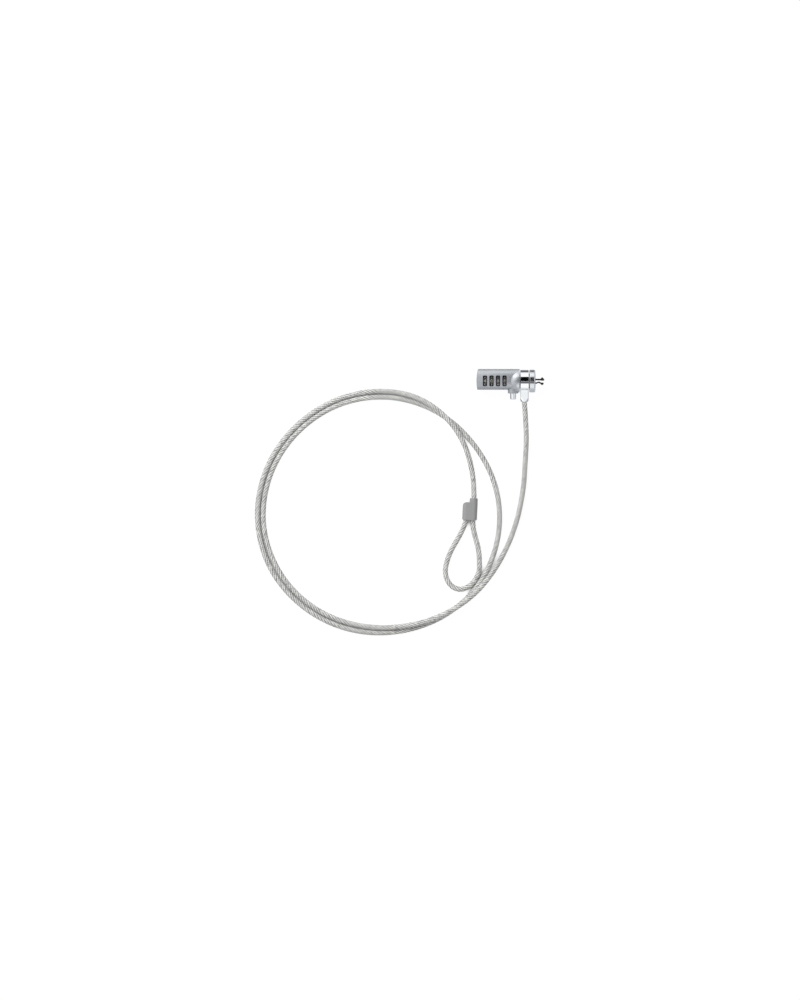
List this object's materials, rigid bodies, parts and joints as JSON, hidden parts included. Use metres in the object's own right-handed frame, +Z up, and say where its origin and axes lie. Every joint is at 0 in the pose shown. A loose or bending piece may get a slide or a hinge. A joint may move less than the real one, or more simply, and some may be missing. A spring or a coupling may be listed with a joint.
{
  "type": "laptop cable lock",
  "caption": "Laptop cable lock: combination head with claws for a security slot, push button, and a swivel ring holding a looped, coated steel cable.",
  "frame": {"origin": "on the surface that the lock lies on, under the middle of the box around the lock without its cable, crimp and cover", "axes": "+X along the lock from end cap to claws, +Y away from the cable's lug and the button, +Z up through the dial windows"},
  "size_m": [0.2432, 0.2237, 0.019],
  "materials": {
    "satin_zinc": "satin-plated zinc casting",
    "bright_chrome": "polished chrome plate",
    "black_dial": "satin black with white digits",
    "brass": "turned",
    "spring_steel": "drawn spring wire and strip",
    "plain_steel": "zinc-plated",
    "dark_steel": "hardened, stamped",
    "crimp_aluminium": "pressed",
    "cable_jacket": "clear grey vinyl over twisted steel strands",
    "cover_plastic": "moulded grey vinyl"
  },
  "bodies": {
    "cable_end": {"swivel_ring": "bright_chrome", "cable_stop": "crimp_aluminium", "cable": "cable_jacket", "loop_crimp": "crimp_aluminium", "loop_cover": "cover_plastic"},
    "lock_body": {"housing": "satin_zinc", "end_cap": "satin_zinc", "head": "satin_zinc", "roll_pins": "plain_steel", "dial_spacers": "plain_steel", "detent_spring": "spring_steel", "claw_pins": "plain_steel", "return_spring": "spring_steel"},
    "dial_set_1": {"dial_1": "black_dial", "sleeve_1": "brass"},
    "dial_set_2": {"dial_2": "black_dial", "sleeve_2": "brass"},
    "dial_set_3": {"dial_3": "black_dial", "sleeve_3": "brass"},
    "dial_set_4": {"dial_4": "black_dial", "sleeve_4": "brass"},
    "reset_key": {"reset_screw": "bright_chrome"},
    "button": {"push_button": "bright_chrome", "cam_pin": "plain_steel"},
    "spindle_set": {"spindle": "brass", "spreader": "dark_steel"},
    "upper_claw": {"claw_upper": "dark_steel"},
    "lower_claw": {"claw_lower": "dark_steel"}
  },
  "joints": [
    {"name": "head_swivel", "type": "hinge", "parent": "cable_end", "child": "lock_body", "pos_m": [0, 0.0036, 0.0095], "axis": [1, 0, 0], "continuous": true},
    {"name": "dial_1_turn", "type": "hinge", "parent": "lock_body", "child": "dial_set_1", "pos_m": [0, 0.0036, 0.0095], "axis": [1, 0, 0], "continuous": true},
    {"name": "dial_2_turn", "type": "hinge", "parent": "lock_body", "child": "dial_set_2", "pos_m": [0, 0.0036, 0.0095], "axis": [1, 0, 0], "continuous": true},
    {"name": "dial_3_turn", "type": "hinge", "parent": "lock_body", "child": "dial_set_3", "pos_m": [0, 0.0036, 0.0095], "axis": [1, 0, 0], "continuous": true},
    {"name": "dial_4_turn", "type": "hinge", "parent": "lock_body", "child": "dial_set_4", "pos_m": [0, 0.0036, 0.0095], "axis": [1, 0, 0], "continuous": true},
    {"name": "reset_turn", "type": "hinge", "parent": "lock_body", "child": "reset_key", "pos_m": [0, 0.0036, 0.0095], "axis": [1, 0, 0], "range_deg": [0, 90]},
    {"name": "button_push", "type": "slide", "parent": "lock_body", "child": "button", "axis": [0, 1, 0], "range_m": [0, 0.0025], "stiffness_N_per_m": 300, "springref_m": -0.004, "deforming": ["return_spring"]},
    {"name": "spindle_slide", "type": "slide", "parent": "lock_body", "child": "spindle_set", "axis": [1, 0, 0], "range_m": [0, 0.0025]},
    {"name": "upper_claw_pivot", "type": "hinge", "parent": "lock_body", "child": "upper_claw", "pos_m": [0.0106, 0.00585, 0.0095], "axis": [0, 0, 1], "range_deg": [0, 3.6]},
    {"name": "lower_claw_pivot", "type": "hinge", "parent": "lock_body", "child": "lower_claw", "pos_m": [0.0106, 0.00135, 0.0095], "axis": [0, 0, 1], "range_deg": [-3.6, 0]}
  ],
  "couplings": [
    {"joint": "spindle_slide", "follows": "button_push", "ratio": 1},
    {"joint": "upper_claw_pivot", "follows": "button_push", "rad_per_m": 25.13},
    {"joint": "lower_claw_pivot", "follows": "button_push", "rad_per_m": -25.13}
  ]
}
